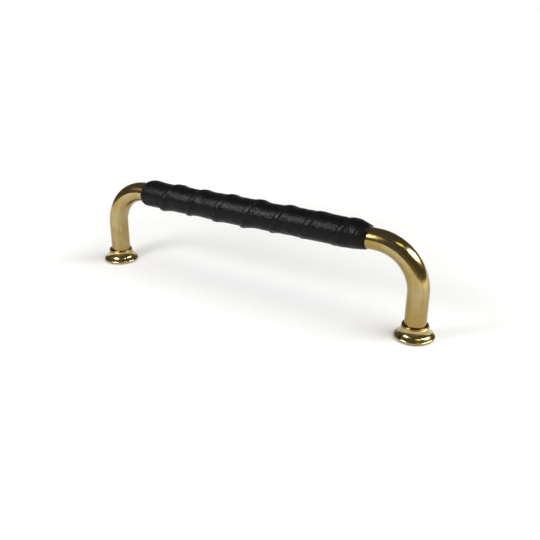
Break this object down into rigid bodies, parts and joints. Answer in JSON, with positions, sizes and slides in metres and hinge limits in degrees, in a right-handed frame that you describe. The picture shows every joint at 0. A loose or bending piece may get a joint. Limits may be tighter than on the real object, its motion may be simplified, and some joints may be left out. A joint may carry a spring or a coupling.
{
  "type": "bow handle",
  "caption": "Bow handle for a cabinet or drawer: a bent brass bar on turned collars, its grip wound with a lapped leather strip.",
  "frame": {"origin": "on the drawer front, at the undersides of the collars, midway between the two fixing screws", "axes": "+X along the grip, +Z away from the drawer front, +Y across the grip"},
  "size_m": [0.1416, 0.0136, 0.0371],
  "materials": {
    "brass": "polished, unlacquered, lightly tarnished",
    "leather": "black, fine grained, semi-matt"
  },
  "bodies": {
    "root": {"bow_bar": "brass", "foot_collar_left": "brass", "foot_collar_right": "brass", "leather_wrap": "leather"}
  },
  "joints": []
}
